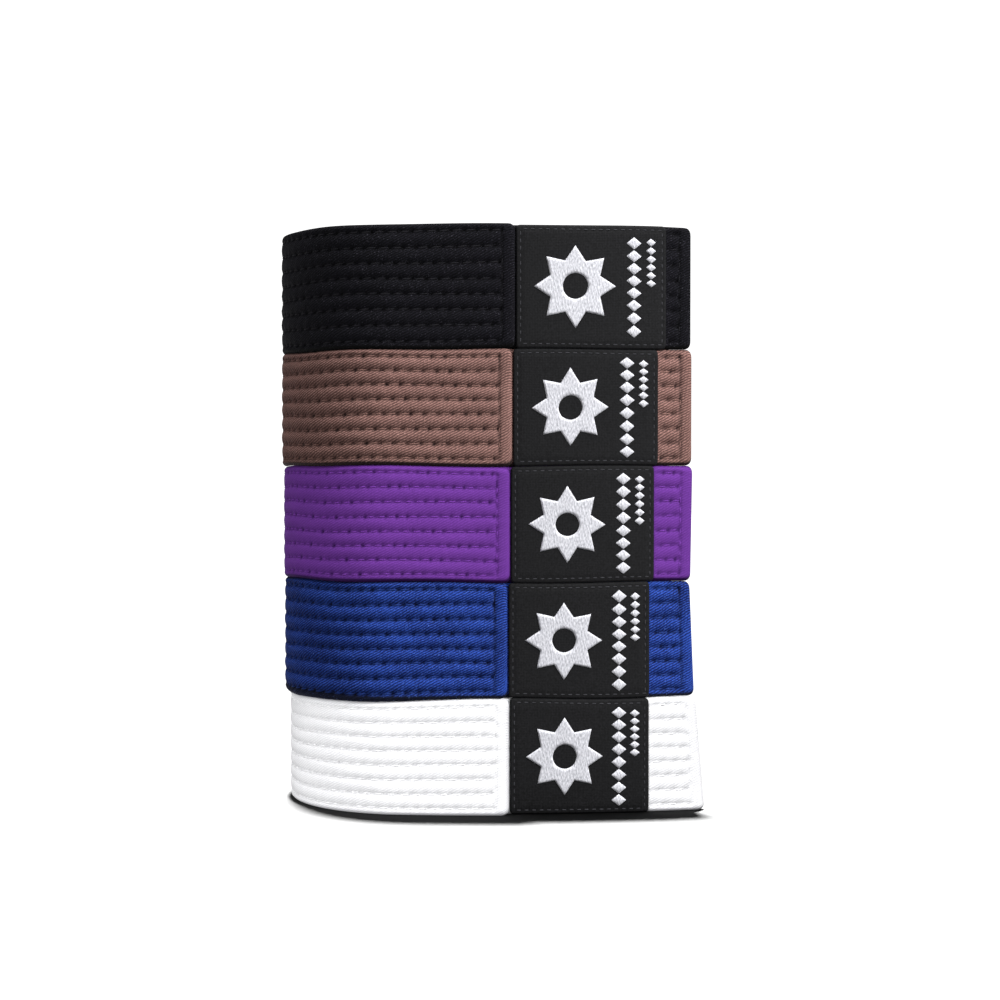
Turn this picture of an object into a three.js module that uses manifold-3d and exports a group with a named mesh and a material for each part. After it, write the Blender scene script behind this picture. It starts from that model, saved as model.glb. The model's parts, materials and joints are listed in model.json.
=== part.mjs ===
// A stack of five rolled martial arts belts, one of each rank colour.
// Each belt is a quilted strip: a twill sleeve round a cotton core. It is folded at its middle and
// rolled from the fold, so that two strands wind outwards together and both ends come out at the
// front: the outer end stops in the middle, and the label end runs on from under it.
// Every piece is drawn flat, as it is sewn, and its vertices are then carried onto the belt's path.
// Millimetres, +Z up. The front is -Y, and each belt stands on its long edge.

import * as THREE from "three";
import { mergeVertices } from "three/addons/utils/BufferGeometryUtils.js";
import Module from "manifold-3d";

const wasm = await Module();
wasm.setup();

// The strip
const BELT_THICKNESS = 3.7;
const HALF = BELT_THICKNESS / 2;
const SLEEVE_CLOTH = 0.6; // wall of the twill sleeve
const CORE_GAP = 0.2; // air between the sleeve and its core

// The roll. Its turns keep one distance to a thin lens drawn between two end centres.
const TURNS = 5;
const STRAND_PITCH = BELT_THICKNESS + 0.3; // from one strand to the next
const FIRST_OFFSET = 2.4; // middle of the innermost strand, from the lens
const END_CENTRE = 27; // from the middle of the roll to the centre of each rounded end
const FACE_RADIUS = 300; // bow of the lens, and so of the roll's two long faces
const FACE_ANGLE = 2 * Math.asin(END_CENTRE / FACE_RADIUS); // what a long face turns through
const FACE_CENTRE = FACE_RADIUS * Math.cos(FACE_ANGLE / 2);
const COARSE_CHORDS = 4; // chords of a rounded end inside the roll
const FINE_CHORDS = 8; // and on the outermost turn
const FOLD_CHORDS = 4;

// The two ends, which peel off the roll at their bend lines
const OUTER_BEND = -24; // from the middle of the roll
const BEND_GAP = 0.3; // slit between the rolled part and an end
const END_STEP = 13.5; // between stations on an end

// The label and its sewing
const LAYER_GAP = 0.15; // air between a sewn-on layer and the cloth under it
const LABEL_THICKNESS = 0.7;
const LABEL_INSET = 0.3; // label edge to belt edge
const THREAD = 0.4; // height of a thread above the cloth
const SEAM_WIDTH = 0.5;
const SEAM_INSET = 1.4; // label seam to label edge
const EMBROIDERY = 0.5;
const EMBLEM_AT = 0.39; // share of the label's length, as the bars' places are
const EMBLEM_RADIUS = 0.335; // share of the belt's width, as the bars' sizes are
const EMBLEM_POINTS = 8;
const EMBLEM_NOTCH = 0.66; // notch radius over point radius
const EMBLEM_EYE = 0.3; // eye radius over point radius
const LONG_BAR = { at: 0.78, width: 0.14, height: 0.8, middle: 0.5 };
const SHORT_BAR = { at: 0.89, width: 0.095, height: 0.39, middle: 0.7 };
const BRIDGE = 1; // thread that joins the two bars

// The rows of stitching that quilt the strip, where they end on the two tabs
const STITCH_ROWS = 8;
const EDGE_ROW = 2.6; // first and last row, from the belt's edges
const CROSS_SEAM = 4; // the seam across a tab, from the belt's end
const ROW_START = 1; // rows start this far from the bend or the label

// The stack from the bottom up. roll is the roll's place along the row, edge where the outer end
// stops, from the middle of the roll, and label and tab are lengths on the label end.
const BELT_GAP = 0.3;
const BELTS = [
  { name: "white", cloth: 0xf2f2f0, width: 40, roll: -4.1, edge: 6.7, label: 48.4, tab: 18.9 },
  { name: "blue", cloth: 0x243c7c, width: 40, roll: -6.2, edge: 8.3, label: 49.1, tab: 15.7 },
  { name: "purple", cloth: 0x6b3592, width: 40, roll: -6.4, edge: 9.3, label: 49.9, tab: 13.9 },
  { name: "brown", cloth: 0x7a5b56, width: 40, roll: -7.1, edge: 10.8, label: 50.5, tab: 12.5 },
  { name: "black", cloth: 0x1c1b20, width: 42.5, roll: -7.1, edge: 11.8, label: 52.3, tab: 9.3 },
];

const cotton = (color) => new THREE.MeshStandardMaterial({ color, roughness: 0.9, metalness: 0 });
const coreCotton = cotton(0xd9d2c3);
const labelCloth = cotton(0x2a2a2c);
const labelThread = cotton(0x3a3a3d);
const embroideryThread = new THREE.MeshStandardMaterial({ color: 0xd6d7db, roughness: 0.5 });

// A place on the path: its point on the strip's middle, and the way that one of its faces looks.
function station(centre, angle, radius) {
  const normal = new THREE.Vector2(Math.cos(angle), Math.sin(angle));
  return { point: centre.clone().addScaledVector(normal, radius), normal };
}

// The fold turns the strip over, so that the face which looks out on one strand looks in on the other.
function turnedOver({ point, normal }) {
  return { point, normal: normal.clone().negate() };
}

// Where a strand is after turning through an angle, with the normal outwards. Even half turns run
// along the front face and round the right end, and odd ones are the same turned by half a circle.
function onRoll(turned, strand) {
  const half = Math.floor(turned / Math.PI + 1e-9);
  const angle = turned - half * Math.PI;
  const normalAngle = angle - (Math.PI + FACE_ANGLE) / 2;
  const offset = FIRST_OFFSET + STRAND_PITCH * (strand + turned / Math.PI);
  const alongFace = angle < FACE_ANGLE - 1e-9;
  const centre = alongFace ? new THREE.Vector2(0, FACE_CENTRE) : new THREE.Vector2(END_CENTRE, 0);
  const made = station(centre, normalAngle, alongFace ? FACE_RADIUS + offset : offset);
  if (half % 2) {
    made.point.negate();
    made.normal.negate();
  }
  return made;
}

// A strand from its first half turn to the start of its last pass along the front.
function strandStations(strand, fineHalves) {
  const stations = [];
  for (let half = 0; half < 2 * TURNS; half++) {
    const chords = half < 2 * TURNS - fineHalves ? COARSE_CHORDS : FINE_CHORDS;
    stations.push(onRoll(half * Math.PI, strand));
    for (let i = 0; i < chords; i++) {
      const roundEnd = ((Math.PI - FACE_ANGLE) * i) / chords;
      stations.push(onRoll(half * Math.PI + FACE_ANGLE + roundEnd, strand));
    }
  }
  stations.push(onRoll(2 * Math.PI * TURNS, strand));
  return stations;
}

// The fold at the middle of the belt: half a circle from the inner strand's start to the outer's.
function foldStations() {
  const inner = onRoll(0, 0);
  const outer = onRoll(0, 1);
  const centre = inner.point.clone().add(outer.point).multiplyScalar(0.5);
  const start = Math.atan2(-inner.normal.y, -inner.normal.x);
  return Array.from({ length: FOLD_CHORDS - 1 }, (_, i) => {
    const angle = start + ((i + 1) * Math.PI) / FOLD_CHORDS;
    return turnedOver(station(centre, angle, STRAND_PITCH / 2));
  });
}

// The bend line of a strand's end on its last pass along the front, at x from the middle.
function bendAt(x, strand) {
  const radius = FACE_RADIUS + FIRST_OFFSET + STRAND_PITCH * (strand + 2 * TURNS);
  return onRoll(2 * Math.PI * TURNS + FACE_ANGLE / 2 + Math.asin(x / radius), strand);
}

// An end goes straight on from its bend line, on the long face's own arc.
function onEnd(bend, distance) {
  const centre = new THREE.Vector2(0, FACE_CENTRE);
  const radius = bend.point.distanceTo(centre);
  return station(centre, Math.atan2(bend.normal.y, bend.normal.x) + distance / radius, radius);
}

// Stations of an end from the far distance back to the near one. They share one spacing, so that
// layers sewn on each other bend at the same places.
function endStations(bend, near, far) {
  const distances = [near];
  for (let d = END_STEP; d < far - 1; d += END_STEP) if (d > near + 1) distances.push(d);
  distances.push(far);
  return distances.reverse().map((distance) => onEnd(bend, distance));
}

function rectangle(path, low, high) {
  path.moveTo(low.x, low.y).lineTo(high.x, low.y).lineTo(high.x, high.y).lineTo(low.x, high.y);
  path.closePath();
  return path;
}

// A section, drawn with x along the station's normal and y up the belt's width, is extruded by one
// unit a station, and then every vertex is moved onto its station.
function carried(section, stations) {
  const steps = stations.length - 1;
  const geometry = new THREE.ExtrudeGeometry(section, { depth: steps, steps, bevelEnabled: false });
  const position = geometry.getAttribute("position");
  for (let i = 0; i < position.count; i++) {
    const { point, normal } = stations[Math.round(position.getZ(i))];
    const place = point.clone().addScaledVector(normal, position.getX(i));
    position.setXYZ(i, place.x, place.y, position.getY(i));
  }
  return geometry;
}

function layer(stations, inner, outer, bottom, top) {
  const low = new THREE.Vector2(inner, bottom);
  return carried(rectangle(new THREE.Shape(), low, new THREE.Vector2(outer, top)), stations);
}

function solid(geometry) {
  const bare = geometry.clone();
  bare.deleteAttribute("normal");
  bare.deleteAttribute("uv");
  const merged = mergeVertices(bare, 1e-3);
  const vertProperties = merged.getAttribute("position").array;
  const triVerts = new Uint32Array(merged.index.array);
  return new wasm.Manifold(new wasm.Mesh({ numProp: 3, vertProperties, triVerts }));
}

function cut(body, tool) {
  const { vertProperties, triVerts } = solid(body).subtract(solid(tool)).getMesh();
  const geometry = new THREE.BufferGeometry();
  geometry.setAttribute("position", new THREE.BufferAttribute(vertProperties, 3));
  geometry.setIndex(new THREE.BufferAttribute(triVerts, 1));
  return geometry;
}

// The twill sleeve's rolled part: a tube of cloth, open at its two cut ends.
function rolledSleeve(stations, width) {
  const low = new THREE.Vector2(-HALF, 0);
  const section = rectangle(new THREE.Shape(), low, new THREE.Vector2(HALF, width));
  const bore = new THREE.Vector2(HALF - SLEEVE_CLOTH, width - SLEEVE_CLOTH);
  section.holes.push(rectangle(new THREE.Path(), new THREE.Vector2(-bore.x, SLEEVE_CLOTH), bore));
  return carried(section, stations);
}

// The sleeve of an end, open at the bend line and folded shut at the belt's end.
function endSleeve(bend, length, width) {
  const bore = HALF - SLEEVE_CLOTH;
  const outside = layer(endStations(bend, BEND_GAP, length), -HALF, HALF, 0, width);
  const hollow = endStations(bend, -1, length - SLEEVE_CLOTH);
  return cut(outside, layer(hollow, -bore, bore, SLEEVE_CLOTH, width - SLEEVE_CLOTH));
}

function core(stations, width) {
  const edge = SLEEVE_CLOTH + CORE_GAP;
  return layer(stations, edge - HALF, HALF - edge, edge, width - edge);
}

function label(bend, length, width) {
  const stations = endStations(bend, BEND_GAP, length);
  const face = HALF + LAYER_GAP;
  return layer(stations, face, face + LABEL_THICKNESS, LABEL_INSET, width - LABEL_INSET);
}

// The seam round the label: a thin ring of thread on its face.
function labelSeam(bend, length, width) {
  const face = HALF + LABEL_THICKNESS + 2 * LAYER_GAP;
  const edge = LABEL_INSET + SEAM_INSET;
  const inset = SEAM_INSET + SEAM_WIDTH;
  const band = endStations(bend, BEND_GAP + SEAM_INSET, length - SEAM_INSET);
  const middle = endStations(bend, BEND_GAP + inset, length - inset);
  const opening = edge + SEAM_WIDTH;
  return cut(
    layer(band, face, face + THREAD, edge, width - edge),
    layer(middle, face - 1, face + THREAD + 1, opening, width - opening),
  );
}

// Flat work, drawn with x along the belt and y up its width, is laid on the face of an end with its
// drawing's zero at a distance from the bend line.
function laid(shape, thickness, bend, distance, outwards) {
  const settings = { depth: thickness, bevelEnabled: false, curveSegments: 6 };
  const geometry = new THREE.ExtrudeGeometry(shape, settings);
  const { point, normal } = onEnd(bend, distance);
  point.addScaledVector(normal, outwards);
  geometry.rotateX(Math.PI / 2);
  geometry.rotateZ(Math.atan2(normal.y, normal.x) + Math.PI / 2);
  return geometry.translate(point.x, point.y, 0);
}

// The emblem: a plain eight-pointed star with a round eye.
function star(width) {
  const radius = EMBLEM_RADIUS * width;
  const points = Array.from({ length: 2 * EMBLEM_POINTS }, (_, i) => {
    const angle = (Math.PI * i) / EMBLEM_POINTS;
    const reach = i % 2 ? radius * EMBLEM_NOTCH : radius;
    return new THREE.Vector2(reach * Math.cos(angle), reach * Math.sin(angle) + width / 2);
  });
  const shape = new THREE.Shape(points);
  const eye = new THREE.Path().absarc(0, width / 2, radius * EMBLEM_EYE, 0, 2 * Math.PI, true);
  shape.holes.push(eye);
  return shape;
}

// The two satin bars beside the emblem, joined by the thread that runs from one to the other.
function bars(labelLength, width) {
  const placed = ({ at, width: across, height, middle }) => ({
    left: (at - LONG_BAR.at) * labelLength - (across * width) / 2,
    right: (at - LONG_BAR.at) * labelLength + (across * width) / 2,
    low: (middle - height / 2) * width,
    high: (middle + height / 2) * width,
  });
  const long = placed(LONG_BAR);
  const short = placed(SHORT_BAR);
  const bridge = SHORT_BAR.middle * width;
  const shape = new THREE.Shape().moveTo(long.left, long.low).lineTo(long.right, long.low);
  shape.lineTo(long.right, bridge - BRIDGE / 2).lineTo(short.left, bridge - BRIDGE / 2);
  shape.lineTo(short.left, short.low).lineTo(short.right, short.low);
  shape.lineTo(short.right, short.high).lineTo(short.left, short.high);
  shape.lineTo(short.left, bridge + BRIDGE / 2).lineTo(long.right, bridge + BRIDGE / 2);
  shape.lineTo(long.right, long.high).lineTo(long.left, long.high).closePath();
  return shape;
}

// The sewing of a tab, drawn round its middle: the quilting rows, and the seam that ends them.
function comb(length, width) {
  const spacing = (width - 2 * EDGE_ROW) / (STITCH_ROWS - 1);
  const rim = SEAM_WIDTH / 2;
  const end = length / 2;
  const shape = new THREE.Shape().moveTo(end, EDGE_ROW - rim).lineTo(end, width - EDGE_ROW + rim);
  for (let row = STITCH_ROWS - 1; row >= 0; row--) {
    const y = EDGE_ROW + row * spacing;
    shape.lineTo(-end, y + rim).lineTo(-end, y - rim);
    if (row) shape.lineTo(end - SEAM_WIDTH, y - rim).lineTo(end - SEAM_WIDTH, y - spacing + rim);
  }
  shape.closePath();
  return shape;
}

function tabStitching(bend, near, far, width) {
  const length = far - near;
  return laid(comb(length, width), THREAD, bend, near + length / 2, HALF + LAYER_GAP);
}

function belt({ name, cloth, width, edge, label: labelLength, tab }) {
  const group = new THREE.Group();
  const twill = cotton(cloth);
  const add = (piece, geometry, material) => {
    const mesh = new THREE.Mesh(geometry, material);
    mesh.name = `${name}_${piece}`;
    group.add(mesh);
  };

  // The rolled part, from the label end's bend line in to the fold and out to the other's
  const outerBend = bendAt(OUTER_BEND, 1);
  const labelBend = bendAt(edge + BEND_GAP, 0);
  const innerStrand = [...strandStations(0, 0), labelBend].reverse();
  const outerStrand = [...strandStations(1, 2), outerBend].map(turnedOver);
  const stations = [...innerStrand, ...foldStations(), ...outerStrand];
  add("sleeve_roll", rolledSleeve(stations, width), twill);
  add("core_roll", core(stations, width), coreCotton);

  // The outer end
  const outerLength = edge - OUTER_BEND;
  const outerCore = endStations(outerBend, BEND_GAP, outerLength - SLEEVE_CLOTH - CORE_GAP);
  const outerRows = outerLength - CROSS_SEAM;
  add("sleeve_outer_end", endSleeve(outerBend, outerLength, width), twill);
  add("core_outer_end", core(outerCore, width), coreCotton);
  add("stitching_outer_end", tabStitching(outerBend, ROW_START, outerRows, width), twill);

  // The label end
  const length = labelLength + tab;
  const labelCore = endStations(labelBend, BEND_GAP, length - SLEEVE_CLOTH - CORE_GAP);
  const tabStart = labelLength + ROW_START;
  add("sleeve_label_end", endSleeve(labelBend, length, width), twill);
  add("core_label_end", core(labelCore, width), coreCotton);
  add("stitching_label_end", tabStitching(labelBend, tabStart, length - CROSS_SEAM, width), twill);

  // The label
  const onLabel = HALF + LABEL_THICKNESS + 2 * LAYER_GAP;
  const work = (shape, share) => laid(shape, EMBROIDERY, labelBend, share * labelLength, onLabel);
  add("label", label(labelBend, labelLength, width), labelCloth);
  add("label_seam", labelSeam(labelBend, labelLength, width), labelThread);
  add("emblem", work(star(width), EMBLEM_AT), embroideryThread);
  add("emblem_bars", work(bars(labelLength, width), LONG_BAR.at), embroideryThread);
  return group;
}

// The belts stand on each other, and the origin is under the middle of the stack.
const stack = new THREE.Group();
let bottom = 0;
for (const kind of BELTS) {
  const made = belt(kind);
  made.position.set(kind.roll, 0, bottom);
  stack.add(made);
  bottom += kind.width + BELT_GAP;
}
const middle = new THREE.Box3().setFromObject(stack).getCenter(new THREE.Vector3());
stack.position.set(-middle.x, -middle.y, 0);

export default stack;
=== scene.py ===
import json
import math

import bpy
import numpy as np
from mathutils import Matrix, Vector


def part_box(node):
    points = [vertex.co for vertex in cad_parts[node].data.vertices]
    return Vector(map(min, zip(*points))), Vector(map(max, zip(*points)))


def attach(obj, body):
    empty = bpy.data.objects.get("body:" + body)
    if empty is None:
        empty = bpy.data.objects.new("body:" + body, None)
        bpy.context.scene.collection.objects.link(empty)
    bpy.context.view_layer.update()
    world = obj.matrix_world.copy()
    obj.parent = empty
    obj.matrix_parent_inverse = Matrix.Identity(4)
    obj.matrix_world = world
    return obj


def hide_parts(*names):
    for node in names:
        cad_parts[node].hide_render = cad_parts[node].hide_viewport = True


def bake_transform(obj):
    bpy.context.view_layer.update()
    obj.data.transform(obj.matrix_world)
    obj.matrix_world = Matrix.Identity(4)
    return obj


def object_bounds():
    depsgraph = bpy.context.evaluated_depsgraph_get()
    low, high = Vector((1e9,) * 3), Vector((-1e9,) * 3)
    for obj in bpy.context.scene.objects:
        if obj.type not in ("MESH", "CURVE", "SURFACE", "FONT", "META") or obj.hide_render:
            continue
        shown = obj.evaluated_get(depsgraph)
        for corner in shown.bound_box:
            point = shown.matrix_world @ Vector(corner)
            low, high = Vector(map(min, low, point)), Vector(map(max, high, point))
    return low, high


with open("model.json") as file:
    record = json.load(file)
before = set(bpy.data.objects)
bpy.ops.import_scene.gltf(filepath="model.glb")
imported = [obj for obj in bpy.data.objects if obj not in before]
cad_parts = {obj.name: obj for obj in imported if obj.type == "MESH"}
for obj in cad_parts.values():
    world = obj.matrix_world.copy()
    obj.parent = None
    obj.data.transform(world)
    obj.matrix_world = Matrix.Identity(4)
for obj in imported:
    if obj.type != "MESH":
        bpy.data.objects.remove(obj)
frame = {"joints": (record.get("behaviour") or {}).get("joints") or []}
cadLow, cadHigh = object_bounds()
mm = 0.001


# camera: level with the upper belts and square to the front, a little to the right of the stack
cameraSettings = {"right": 4.8, "height": 121, "distance": 650, "aimHeight": 109, "lens": 68.3}


def makeCamera(s):
    data = bpy.data.cameras.new("camera")
    data.lens = s["lens"]
    data.clip_start, data.clip_end = 0.05, 50
    camera = bpy.data.objects.new("camera", data)
    bpy.context.scene.collection.objects.link(camera)
    camera.location = (s["right"] * mm, cadLow.y - s["distance"] * mm, s["height"] * mm)
    drop = math.atan((s["height"] - s["aimHeight"]) / s["distance"])
    camera.rotation_euler = (math.pi / 2 - drop, 0, 0)
    bpy.context.scene.camera = camera


makeCamera(cameraSettings)
print("camera set")


# the strip and its roll, as in the CAD: a lens between two end centres, and turns at one distance
# from it. All in millimetres, from the middle of the roll.
roll = {
    "thickness": 3.7,
    "turns": 5,
    "pitch": 4.0,
    "firstOffset": 2.4,
    "endCentre": 27,
    "faceRadius": 300,
    "outerBend": -24,
    "bendGap": 0.3,
    "foldSteps": 9,
    "coarseStep": 7.0,  # between stations inside the roll
    "coarseAngle": math.radians(16),
    "fineStep": 0.9,  # and where the cloth is seen, a fifth of a stitch
    "tip": 1.5,  # rounded length at a belt's end
    "tipSteps": 4,
    "tipClose": 0.95,  # how nearly the rounding closes: 1 is to nothing
    "overlap": 1.0,  # how far an end runs on inside the rolled part's cut
    "tuck": 0.97,  # and how much thinner it is at the end of that
    "lip": 0.02,  # both run past the cut at full thickness by this, so that they shade as one
    "spare": 4,  # length past an end's tip over which its path goes on
    "stitchedRadius": 75,  # the roll's last stretch with stitches is as long as a circle of this
}
half = roll["thickness"] / 2
faceAngle = 2 * math.asin(roll["endCentre"] / roll["faceRadius"])
faceCentre = roll["faceRadius"] * math.cos(faceAngle / 2)
lastFace = 2 * math.pi * roll["turns"]


def onRoll(turned, strand):
    # A strand's middle and outward normal after turning by an angle: on even half turns it runs
    # along the front face's arc and round the right end centre, and odd half turns are those
    # turned by half a circle. Its distance to the lens grows evenly with the angle.
    halfTurn = np.floor(turned / math.pi + 1e-9)
    angle = turned - halfTurn * math.pi
    offset = roll["firstOffset"] + roll["pitch"] * (strand + turned / math.pi)
    onFace = angle < faceAngle
    direction = angle - (math.pi + faceAngle) / 2
    normal = np.stack([np.cos(direction), np.sin(direction)], -1)
    radius = np.where(onFace, roll["faceRadius"] + offset, offset)
    centre = np.stack([np.where(onFace, 0, roll["endCentre"]), np.where(onFace, faceCentre, 0)], -1)
    sign = np.where(halfTurn % 2 == 1, -1.0, 1.0)[:, None]
    return (centre + normal * radius[:, None]) * sign, normal * sign


def turnSteps(low, high, strand, fine):
    # angles from low to high, with steps that follow the length or the bend of each stretch
    marks = [low, high]
    for halfTurn in range(2 * roll["turns"] + 1):
        marks += [halfTurn * math.pi, halfTurn * math.pi + faceAngle]
    marks = sorted(m for m in set(marks) if low <= m <= high)
    steps = [np.array([low])]
    for a, b in zip(marks, marks[1:]):
        if b - a < 1e-9:
            continue
        middle, _ = onRoll(np.array([a, (a + b) / 2, b - 1e-7]), strand)
        length = np.linalg.norm(np.diff(middle, axis=0), axis=1).sum()
        bent = (a % math.pi) > faceAngle - 1e-6
        count = length / roll["fineStep"] if fine else length / roll["coarseStep"]
        if bent and not fine:
            count = (b - a) / roll["coarseAngle"]
        steps.append(np.linspace(a, b, max(2, math.ceil(count) + 1))[1:])
    return np.concatenate(steps)


def arcOf(points):
    # length run along a line of points, up to each of them
    return np.concatenate([[0], np.cumsum(np.linalg.norm(np.diff(points, axis=0), axis=1))])


def outerRadius(strand):
    # of a strand's last run along the front face
    return roll["faceRadius"] + roll["firstOffset"] + roll["pitch"] * (strand + 2 * roll["turns"])


def bendTurn(x, strand):
    # the angle at which a strand, on its last run along the front face, passes x
    return lastFace + faceAngle / 2 + math.asin(x / outerRadius(strand))


def rollPath(labelBend):
    # from the label end's bend line in to the fold, and out along the other strand to its bend.
    # The normal looks outwards on that last strand, so inwards on the first.
    outerBend = bendTurn(roll["outerBend"], 1)
    under = turnSteps(lastFace, labelBend, 0, True)
    inner = np.concatenate([turnSteps(0, lastFace, 0, False), under[1:]])[::-1]
    points, normals = onRoll(inner, 0)
    coil = turnSteps(0, lastFace - 2 * math.pi + faceAngle, 1, False)
    seen = turnSteps(lastFace - 2 * math.pi + faceAngle, outerBend, 1, True)
    seen = np.append(seen, outerBend + roll["lip"] / outerRadius(1))
    outerPoints, outerNormals = onRoll(np.concatenate([coil, seen[1:]]), 1)
    centre = (points[-1] + outerPoints[0]) / 2
    start = math.atan2(*(points[-1] - centre)[::-1])
    angles = start + np.linspace(0, math.pi, roll["foldSteps"] + 1)[1:-1]
    foldNormals = np.stack([np.cos(angles), np.sin(angles)], -1)
    fold = centre + foldNormals * roll["pitch"] / 2
    point = np.concatenate([points, fold, outerPoints])
    normal = np.concatenate([-normals, foldNormals, outerNormals])
    return {"point": point, "normal": normal, "arc": arcOf(point)}


def endPath(turn, strand, length, startArc):
    # an end runs straight on from its bend line, on the long face's own arc, with closer stations
    # at its cross seam and round its tip. The path itself goes on past the last station.
    at, normal = onRoll(np.array([turn]), strand)
    centre = np.array([0, faceCentre])
    radius = np.linalg.norm(at[0] - centre)
    straight = length - roll["tip"]
    distance = np.linspace(0, straight, math.ceil(straight / roll["fineStep"]) + 1)
    tip = straight + roll["tip"] * np.sin(np.linspace(0, math.pi / 2, roll["tipSteps"] + 1)[1:])
    seam = length - quilt["crossSeam"]
    step = roll["fineStep"]
    distance = distance[np.abs(distance - seam) > 4 / 3 * step]
    distance = np.sort(np.concatenate([distance, seam + np.linspace(-step, step, 5)]))
    stations = np.concatenate([[-roll["overlap"], -roll["lip"]], distance, tip])
    distance = np.append(stations, length + roll["spare"])
    angle = math.atan2(normal[0, 1], normal[0, 0]) + distance / radius
    normals = np.stack([np.cos(angle), np.sin(angle)], -1)
    point = centre + normals * radius
    arc = startArc + distance
    return {"point": point, "normal": normals, "arc": arc, "stations": startArc + stations}


# how the belts' edges wave, in millimetres
wavy = {
    "height": 0.4,
    "along": 14,
    "across": 7,
    "period": 20,
    "shift": (2.3, 1.7),  # how the waves along and across move on with each period upwards
    "fadeIn": 25,
    "settle": 0.14,  # how far an edge settles towards the next belt's
    "settleFrom": 5,
    "droopFrom": 58,  # a droop or sag is full this far left of the middle
}


def atLeft(x):
    # 0 from the middle rightwards, rising to 1 at the far left as a power of the distance
    return np.clip(-x / wavy["droopFrom"], 0, 1) ** 1.5


def placed(path, at, along, up, out):
    # A point at an arc length along the path, up the strip's width and out from its middle. At the
    # left the strip's top edge is lower by the belt's droop and its bottom edge by its sag. A lean
    # makes an end's tip longer at the bottom than at the top. The whole stack waves a little, the
    # same for edges that rest on each other, and not at all at the floor. Each belt's edges settle
    # into the slit that the CAD leaves between belts.
    along, up, out = np.broadcast_arrays(along, up, out)
    if "leanFrom" in path:
        leaning = np.clip((along - path["leanFrom"]) / (path["stations"][-1] - path["leanFrom"]), 0, 1)
        along = along + at["lean"] * (0.5 - up / at["width"]) * leaning
    known = np.concatenate([path["normal"], path["point"]], 1).T
    normalX, normalY, x, y = (np.interp(along, path["arc"], values) for values in known)
    size = np.hypot(normalX, normalY)
    x = x + normalX / size * out
    y = y + normalY / size * out
    high = up / at["width"]
    z = at["z"] + up - atLeft(x) * (high * at["droop"] + (1 - high) * at["sag"])
    z = z + wavy["settle"] * (2 * high - 1) * np.clip(z / wavy["settleFrom"], 0, 1)
    shiftX, shiftY = (shift * z / wavy["period"] for shift in wavy["shift"])
    swell = np.sin(x / wavy["along"] + shiftX) * np.cos(y / wavy["across"] + shiftY)
    z = z + wavy["height"] * swell * np.clip(z / wavy["fadeIn"], 0, 1)
    return np.stack([x + at["x"], y + at["y"], z], -1) * mm


# meshes
def makePiece(name, points, faces, uv, marks=None, flatFaces=0):
    # points (n, 3) in metres, faces (m, 4), uv (n, 2) in millimetres of cloth, marks are named
    # values at the points. Faces are turned over if the closed shape's volume is negative, and the
    # last flatFaces of them, the cut ends, are flat.
    corners = points[faces]
    cross = np.cross(corners[:, 2] - corners[:, 0], corners[:, 3] - corners[:, 1])
    if (corners.mean(1) * cross).sum() < 0:
        faces = faces[:, ::-1]
    smooth = np.arange(len(faces)) < len(faces) - flatFaces
    mesh = bpy.data.meshes.new(name)
    mesh.vertices.add(len(points))
    mesh.vertices.foreach_set("co", points.astype(np.float32).ravel())
    mesh.loops.add(faces.size)
    mesh.loops.foreach_set("vertex_index", faces.astype(np.int32).ravel())
    mesh.polygons.add(len(faces))
    mesh.polygons.foreach_set("loop_start", np.arange(0, faces.size, 4, dtype=np.int32))
    mesh.polygons.foreach_set("use_smooth", smooth)
    layer = mesh.uv_layers.new(name="cloth")
    layer.data.foreach_set("uv", uv[faces.ravel()].astype(np.float32).ravel())
    for key, values in (marks or {}).items():
        attribute = mesh.attributes.new(key, "FLOAT", "POINT")
        attribute.data.foreach_set("value", values.astype(np.float32).ravel())
    mesh.update(calc_edges=True)
    piece = bpy.data.objects.new(name, mesh)
    bpy.context.scene.collection.objects.link(piece)
    return piece


def gridFaces(rows, columns, wrapRows=False, wrapColumns=True):
    # quads between neighbours on a grid of points, joined back to the start where it wraps
    index = np.arange(rows * columns).reshape(rows, columns)
    if wrapRows:
        index = np.concatenate([index, index[:1]], 0)
    if wrapColumns:
        index = np.concatenate([index, index[:, :1]], 1)
    quads = [index[:-1, :-1], index[1:, :-1], index[1:, 1:], index[:-1, 1:]]
    return np.stack(quads, -1).reshape(-1, 4)


def slabFaces(rows, count):
    # A closed slab of rows sections, each up count points of one face and down those of the other.
    # Its two end caps come last.
    left = np.arange(count - 1)
    cap = np.stack([left, left + 1, 2 * count - 2 - left, 2 * count - 1 - left], -1)
    side = gridFaces(rows, 2 * count)
    return np.concatenate([side, cap[:, ::-1], cap + (rows - 1) * 2 * count])


def squeezed(along, up, ends, radius, width):
    # heights drawn in towards the middle near the ends, which rounds the corners
    away = np.abs(along[:, None] - np.array(ends)[None, :]).min(1)[:, None]
    inwards = radius * (1 - np.sqrt(1 - np.clip(1 - away / radius, 0, 1) ** 2))
    return width / 2 + (up[None, :] - width / 2) * (1 - 2 * inwards / width)


def stripPiece(name, path, at, along, up, outer, inner, marks=None, ends=(), corner=1.0):
    # a strip's skin carried along the path: outer and inner are its faces' (stations, heights)
    # distances from the path, and ends are where its corners are rounded
    heights = np.concatenate([up, up[::-1]])
    outs = np.concatenate([outer, inner[:, ::-1]], 1)
    drawnIn = squeezed(along, heights, ends, corner, at["width"]) if ends else heights[None, :]
    points = placed(path, at, along[:, None], drawnIn, outs)
    uv = np.stack(np.broadcast_arrays(along[:, None], heights[None, :]), -1)
    both = {key: np.concatenate([v, v[:, ::-1]], 1) for key, v in (marks or {}).items()}
    faces = slabFaces(len(along), len(up))
    capFaces = 2 * (len(up) - 1)
    return makePiece(name, points.reshape(-1, 3), faces, uv.reshape(-1, 2), both, capFaces)


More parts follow.
